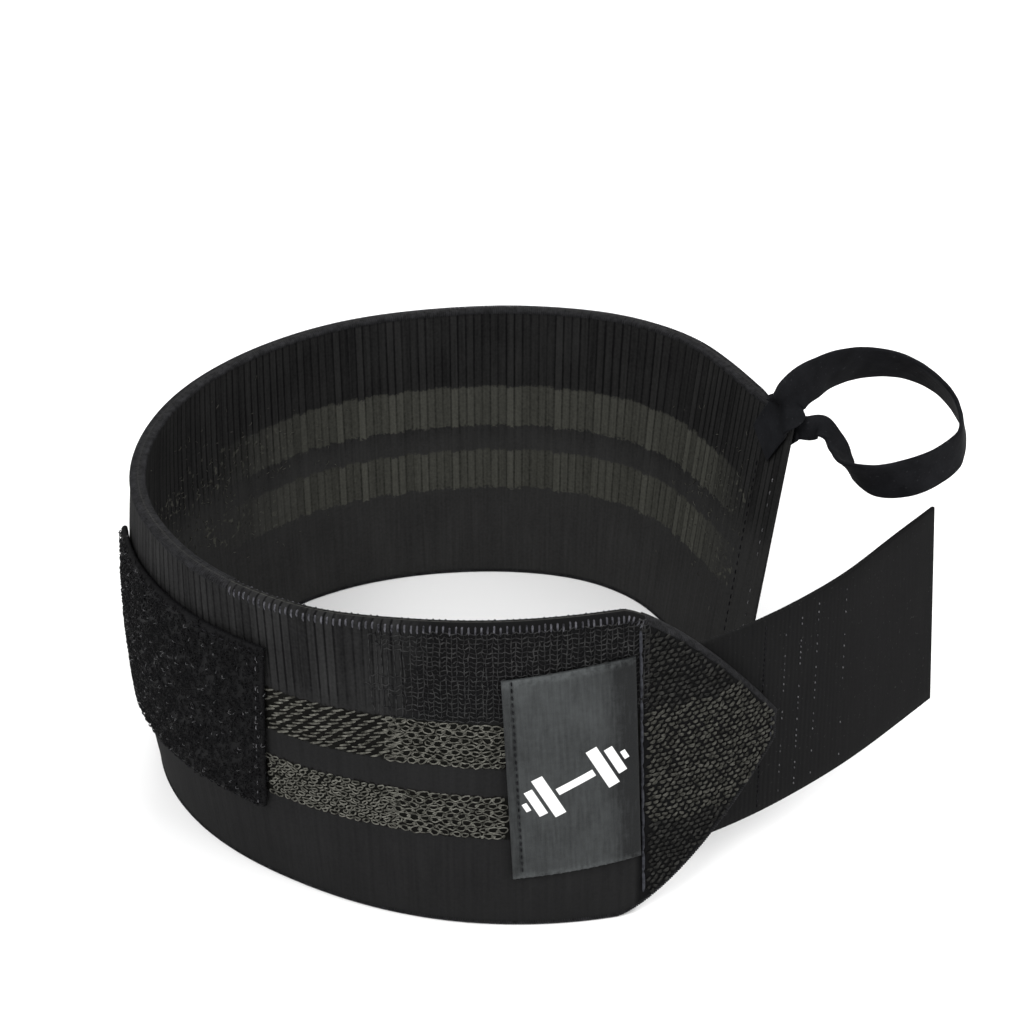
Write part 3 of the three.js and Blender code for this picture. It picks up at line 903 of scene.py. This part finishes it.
def make_pile(name, count, reach, lift, radius, finish):
    """Short bent fibres that stand out of the patch as low arches and lean every way. Those at its
    border hang lower by the drop."""
    a = rng.uniform(PATCH_START - 0.1, PATCH_END + 0.2, count)
    v = rng.uniform(PATCH_FOOT - 0.1, PATCH_FOOT + PATCH_HEIGHT + 0.1, count)
    past = np.minimum(np.minimum(a - PATCH_START, PATCH_END - a),
                      np.minimum(v - PATCH_FOOT, PATCH_FOOT + PATCH_HEIGHT - v))
    drop = np.clip(0.7 - past, 0, 0.8) * rng.uniform(0.3, 2.2, count)
    a = a + PATCH_SHEAR * (0.5 - (v - PATCH_FOOT) / PATCH_HEIGHT)
    way = rng.uniform(0, 2 * np.pi, count)
    size = rng.uniform(0.5, 1, count) * reach
    rise = rng.uniform(0.5, 1, count) * lift
    t = np.linspace(0, 1, 5)
    bow = rng.normal(0, 0.45, count)
    x = size[:, None] * (t - 0.5)
    y = bow[:, None] * t * (1 - t) * 2
    along = a[:, None] + x * np.cos(way)[:, None] - y * np.sin(way)[:, None]
    up = v[:, None] + x * np.sin(way)[:, None] + y * np.cos(way)[:, None]
    out = PATCH_FACE - 0.42 - drop[:, None] + rise[:, None] * 4 * t * (1 - t)
    points, faces = threads(wall(along, up, out), wall_normal(along), radius, 4, tip=0.6)
    return add_piece(name, points, faces, finish)


patch_fibres = make_pile("patch_fibres", 4600, 1.3, 0.5, 0.11, pile)
# Painted highlights: a few pale fibres stand for glints on the pile.
patch_glints = make_pile("patch_glints", 190, 0.9, 0.6, 0.06, glint)


def label_relief(along, up, side):
    """A folded hem at the label's free end with a pressed crease beside it, a soft swell, and a
    rough top and bottom edge."""
    if side < 0:
        return 0 * along
    onward = along - LABEL_START
    crease = onward - 1.9
    soft = 0.05 * np.sin(up * 0.5) * np.sin(along * 0.33)
    edge = np.exp(-np.minimum(up, LABEL_HEIGHT - up) / 0.7)
    rough = 0.24 * edge * np.sin(along * 5.1) * np.sin(along * 1.7 + 1)
    return soft + rough + 0.1 * (crease < 0) - 0.3 * np.exp(-((crease / 0.28) ** 2))


made = strip(LABEL_START, LABEL_END, LABEL_FOOT, LABEL_HEIGHT, LABEL_FACE - LABEL_THICKNESS / 2,
             LABEL_THICKNESS, 0.2, 60, relief=label_relief, slant=LABEL_SLANT, shear=LABEL_SHEAR)
label = lay("label_hide", made, hide)
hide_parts("label")


def loop_rows():
    """The loop's whole route in millimetres from the band's upper end corner: the inner leg, the
    free part, and the outer leg. A leg lies flat on the leaning wall when its roll is
    atan(tan(lean) / cos(angle))."""
    corner = wall(0.0, BAND_WIDTH, 0.0)
    heading = math.radians(COURSE[0][1])
    out = np.array([-math.cos(heading), -math.sin(heading), 0])
    side = np.array([math.sin(heading), -math.cos(heading), 0])
    up = np.array([0, 0, 1.0])
    depth = SEWN_END_THICKNESS / 2 + GAP + LOOP_THICKNESS / 2
    lean = math.tan(math.radians(COURSE[0][2]))

    def leg_rows(face, setback, angle, width, shares):
        turned = math.radians(angle)
        flat = math.degrees(math.atan(lean / math.cos(turned)))
        roll = flat - 180 if face > 0 else -flat
        for share in shares:
            back = LOOP_ROOT * share
            along, height = setback + back * math.cos(turned), BAND_WIDTH - back * math.sin(turned)
            yield (*(wall(along, height, face * depth) - corner), roll, width)

    free = [
        (*(o * LOOP_REACH * out + s * LOOP_SPREAD * side + r * LOOP_RISE * up), roll, width)
        for o, s, r, roll, width in LOOP_COURSE
    ]
    rows = np.array([*leg_rows(*INNER_LEG), *free, *leg_rows(*OUTER_LEG)])
    rows[:, :3] += corner
    travelled = np.append(0, np.cumsum(np.linalg.norm(np.diff(rows[:, :3], axis=0), axis=1)))
    return np.concatenate([travelled[:, None], rows], 1)


LOOP_ROWS = loop_rows()
LOOP_LENGTH = LOOP_ROWS[-1, 0]


def loop_frame(at):
    """Centre, direction across and face normal of the loop strap at that length."""

    def middle(length):
        return np.stack([smooth(LOOP_ROWS, length, k) for k in (1, 2, 3)], -1)

    centre = middle(at)
    tangent = middle(np.minimum(at + 0.4, LOOP_LENGTH)) - middle(np.maximum(at - 0.4, 0))
    tangent /= np.linalg.norm(tangent, axis=-1, keepdims=True)
    upright = np.array([0, 0, 1.0]) - tangent[..., 2:] * tangent
    upright /= np.linalg.norm(upright, axis=-1, keepdims=True)
    beside = np.cross(tangent, upright)
    roll = np.radians(smooth(LOOP_ROWS, at, 4))[..., None]
    across = upright * np.cos(roll) + beside * np.sin(roll)
    return centre, across, np.cross(tangent, across)


def make_loop():
    """The narrow strap swept along its route, with rounded edges and a soft uneven face."""
    at = np.linspace(0, LOOP_LENGTH, 620)
    across_at = edge_rows(LOOP_WIDTH, [0, 0.1, 0.3, 0.6], 13)
    centre, across, normal = loop_frame(at)
    along, share = np.meshgrid(at, across_at, indexing="ij")
    to_end = np.minimum(along, LOOP_LENGTH - along)
    inset = np.minimum(np.minimum(share, LOOP_WIDTH - share), to_end)
    thin = 0.4 + 0.6 * eased(to_end, 0, 8)
    half = LOOP_THICKNESS / 2 * (0.2 + 0.8 * rounded(inset, 0.6)) * thin
    uneven = 0.05 * np.sin(along * 1.1 + share) * np.sin(share * 1.9 - along * 0.37)
    narrowed = smooth(LOOP_ROWS, at, 5)[:, None]
    base = centre[:, None] + across[:, None] * ((share - LOOP_WIDTH / 2) * narrowed)[..., None]
    relief = half + uneven * rounded(inset, 1.0)
    grids = [base + normal[:, None] * (side * relief)[..., None] for side in (1, -1)]
    points, faces = shell(*grids)
    return add_piece("thumb_loop_strap", points, faces, webbing, both_faces(along, share))


loop = make_loop()
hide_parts("thumb_loop")

# Each row of stitches: from length and height to length and height, how far out it lies, the side
# it faces, its pitch, the share of the pitch that a stitch covers, and the thread's radius.
PALE_SEWING = [
    (BAND_LENGTH + 4.5, 15.0, BAND_LENGTH + 4.5, 60.5, STRAP_FACE, 1, 1.7, 0.28, 0.13),
    (BAND_LENGTH + 9.2, 15.0, BAND_LENGTH + 9.2, 60.5, STRAP_FACE, 1, 1.4, 0.3, 0.15),
    (BAND_LENGTH + 14.4, 15.0, BAND_LENGTH + 14.4, 60.5, STRAP_FACE, 1, 1.9, 0.24, 0.13),
    (BAND_LENGTH + 23.7, 15.0, BAND_LENGTH + 23.7, 60.5, STRAP_FACE, 1, 2.8, 0.16, 0.13),
    (2.2, 3.0, 2.2, 62.0, -1.07, -1, 3.2, 0.3, 0.13),
    (2.2, 3.0, 2.2, 73.0, 1.07, 1, 3.2, 0.3, 0.13),
    (PATCH_END - 3.2, 21.8, PATCH_END + 0.8, 63.8, 3.65, 1, 2.6, 0.4, 0.12),
]
DARK_SEWING = [
    (LABEL_START + 0.8, 64.2, LABEL_START + 3.1, 15.4, 2.86, 1, 1.7, 0.6, 0.14),
    (9.8, 3.0, 9.8, 62.0, -1.12, -1, 2.2, 0.55, 0.14),
    (9.8, 3.0, 9.8, 73.0, 1.12, 1, 2.2, 0.55, 0.14),
    (PATCH_START - 1.2, 22.2, PATCH_END - 3.2, 22.2, 3.7, 1, 2.2, 0.5, 0.14),
    (PATCH_START + 2.8, 64.0, PATCH_END + 0.8, 64.0, 3.7, 1, 2.2, 0.5, 0.14),
    (BAND_LENGTH - 1.5, 14.0, BAND_LENGTH - 1.5, 61.0, STRAP_FACE, 1, 1.3, 0.6, 0.14),
]
SEAM_SEWING = [
    (343.9, 72.0, 346.2, 6.0, 1.6, 1, 5.5, 1.0, 0.33),
    (375.9, 35.2, 375.9, 40.8, 1.6, 1, 1.4, 0.8, 0.2),
]


def make_stitches(name, sewing, finish, kept=1.0):
    """Short threads laid end to end along each row, each one a low arch over the cloth. kept is
    the share of them that stands out of the cloth."""
    points, faces = [], []
    arch = np.linspace(-0.5, 0.5, 7)
    for a0, v0, a1, v1, out, face, pitch, cover, radius in sewing:
        length = math.hypot(a1 - a0, v1 - v0)
        count = int(length / pitch)
        centre = (np.arange(count) + 0.5) / count + rng.normal(0, 0.03, count) / count
        centre = centre[rng.random(count) < kept]
        share = centre[:, None] + arch[None, :] * cover * pitch / length
        a = a0 + (a1 - a0) * share
        v = v0 + (v1 - v0) * share
        lift = radius * (1 - (2 * arch) ** 2) - 0.06
        made = threads(wall(a, v, out + face * lift), wall_normal(a), radius, 5, tip=0.5)
        first = sum(len(part) for part in points)
        points.append(made[0])
        faces += [[corner + first for corner in each] for each in made[1]]
    return add_piece(name, np.concatenate(points), faces, finish)


stitches = [
    make_stitches("pale_stitches", PALE_SEWING, pale_thread, 0.6),
    make_stitches("dark_stitches", DARK_SEWING, dark_thread),
    make_stitches("seam_stitches", SEAM_SEWING, seam_thread),
]

LOOP_LENGTH * MM


def make_floor():
    """A wide level square just under the wrap."""
    size = 3.0
    corners = [(-size, -size, 0), (size, -size, 0), (size, size, 0), (-size, size, 0)]
    mesh = bpy.data.meshes.new("floor")
    mesh.from_pydata(corners, [], [(0, 1, 2, 3)])
    mesh.materials.append(plain_finish("floor_paint", (0.86, 0.86, 0.86)).material)
    floor = bpy.data.objects.new("floor", mesh)
    bpy.context.scene.collection.objects.link(floor)


def add_light(name, place, target, size, watts):
    """A square soft light at a place, turned to a target, in metres."""
    data = bpy.data.lights.new(name, "AREA")
    data.size = size
    data.energy = watts
    light = bpy.data.objects.new(name, data)
    bpy.context.scene.collection.objects.link(light)
    light.location = place
    light.rotation_mode = "QUATERNION"
    light.rotation_quaternion = (Vector(target) - Vector(place)).to_track_quat("-Z", "Y")


make_floor()
world = bpy.data.worlds.new("soft_room")
world.use_nodes = True
world.node_tree.nodes["Background"].inputs["Color"].default_value = (1, 1, 1, 1)
world.node_tree.nodes["Background"].inputs["Strength"].default_value = 0.75
bpy.context.scene.world = world
add_light("key", (-0.5, -0.7, 1.0), (0, 0, 0.04), 0.7, 14)
add_light("fill", (0.8, -0.4, 0.8), (0, 0, 0.04), 0.8, 8)
add_light("back", (0.1, 0.9, 0.9), (0, 0, 0.04), 0.9, 8)

# The camera looks down at the wrap, from as far as its picture's perspective asks for.
CAMERA_TARGET = Vector((shift[0] - 54.187, shift[1] + 86.538, 0)) * MM
CAMERA_DISTANCE = 568 * MM
CAMERA_ELEVATION = math.radians(32)
CAMERA_ANGLE = math.radians(28)
lens = bpy.data.cameras.new("camera")
lens.angle = CAMERA_ANGLE
lens.clip_start, lens.clip_end = 0.01, 20
camera = bpy.data.objects.new("camera", lens)
bpy.context.scene.collection.objects.link(camera)
back = Vector((0, -math.cos(CAMERA_ELEVATION), math.sin(CAMERA_ELEVATION)))
camera.location = CAMERA_TARGET + back * CAMERA_DISTANCE
camera.rotation_mode = "QUATERNION"
camera.rotation_quaternion = (-back).to_track_quat("-Z", "Y")
bpy.context.scene.camera = camera
bpy.context.scene.view_settings.view_transform = "Standard"
